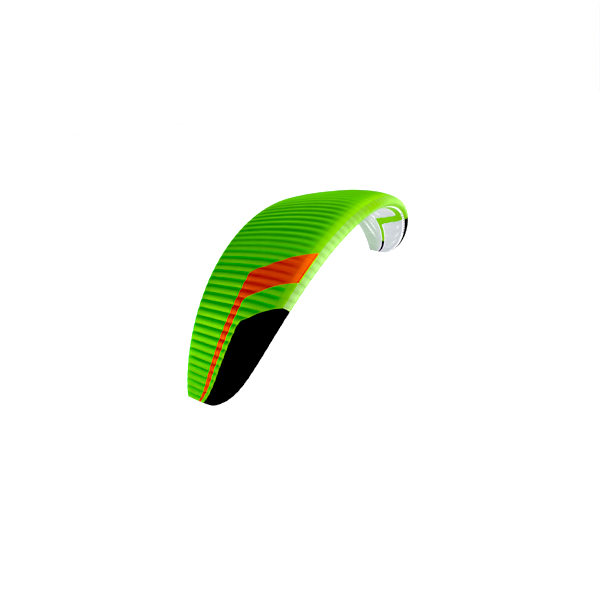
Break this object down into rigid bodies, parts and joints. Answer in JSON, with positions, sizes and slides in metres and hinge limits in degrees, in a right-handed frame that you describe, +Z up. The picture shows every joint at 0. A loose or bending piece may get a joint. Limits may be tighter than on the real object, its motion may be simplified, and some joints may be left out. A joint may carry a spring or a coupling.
{
  "type": "paraglider wing",
  "caption": "Inflated ram-air paraglider wing: a tall arch of billowed cells, open under the nose, with a pale nose band, angled flashes and dark tips.",
  "frame": {"origin": "on the lower sail's outer face at mid-span, 30% of the chord behind the leading edge, over the point where the lines carry the pilot", "axes": "+X along the span towards the pilot's left tip, -Y the way the wing flies, so the leading edge faces -Y, +Z up"},
  "size_m": [9.3132, 2.7357, 3.1478],
  "materials": {
    "green_cloth": "bright green coated ripstop sailcloth",
    "pale_green_cloth": "pale green coated ripstop sailcloth",
    "orange_cloth": "orange coated ripstop sailcloth",
    "black_cloth": "black coated ripstop sailcloth",
    "white_cloth": "white, slightly translucent coated ripstop sailcloth"
  },
  "bodies": {
    "root": {"upper_sail_centre": "green_cloth", "under_sail_centre": "white_cloth", "under_stripe_centre": "green_cloth", "intake_strip_1": "white_cloth", "intake_strip_2": "white_cloth", "nose_band_2": "pale_green_cloth", "under_nose_2": "green_cloth", "intake_strip_3": "white_cloth", "nose_band_3": "pale_green_cloth", "under_nose_3": "green_cloth", "intake_strip_4": "white_cloth", "nose_band_4": "pale_green_cloth", "under_nose_4": "green_cloth", "intake_strip_5": "white_cloth", "nose_band_5": "pale_green_cloth", "under_nose_5": "green_cloth", "intake_strip_6": "white_cloth", "nose_band_6": "pale_green_cloth", "under_nose_6": "green_cloth", "intake_strip_7": "white_cloth", "nose_band_7": "pale_green_cloth", "under_nose_7": "green_cloth", "intake_strip_8": "white_cloth", "nose_band_8": "pale_green_cloth", "under_nose_8": "green_cloth", "intake_strip_9": "white_cloth", "tip_panel_right": "black_cloth", "front_stripe_right": "green_cloth", "flash_right": "orange_cloth", "upper_sail_right": "green_cloth", "under_front_right": "white_cloth", "under_tip_stripe_right": "black_cloth", "under_stripe_right": "green_cloth", "under_sail_right": "white_cloth", "closed_strip_right": "white_cloth", "tip_rib_right": "black_cloth", "tip_panel_left": "black_cloth", "front_stripe_left": "green_cloth", "flash_left": "orange_cloth", "upper_sail_left": "green_cloth", "under_front_left": "white_cloth", "under_tip_stripe_left": "black_cloth", "under_stripe_left": "green_cloth", "under_sail_left": "white_cloth", "closed_strip_left": "white_cloth", "tip_rib_left": "black_cloth"}
  },
  "joints": []
}
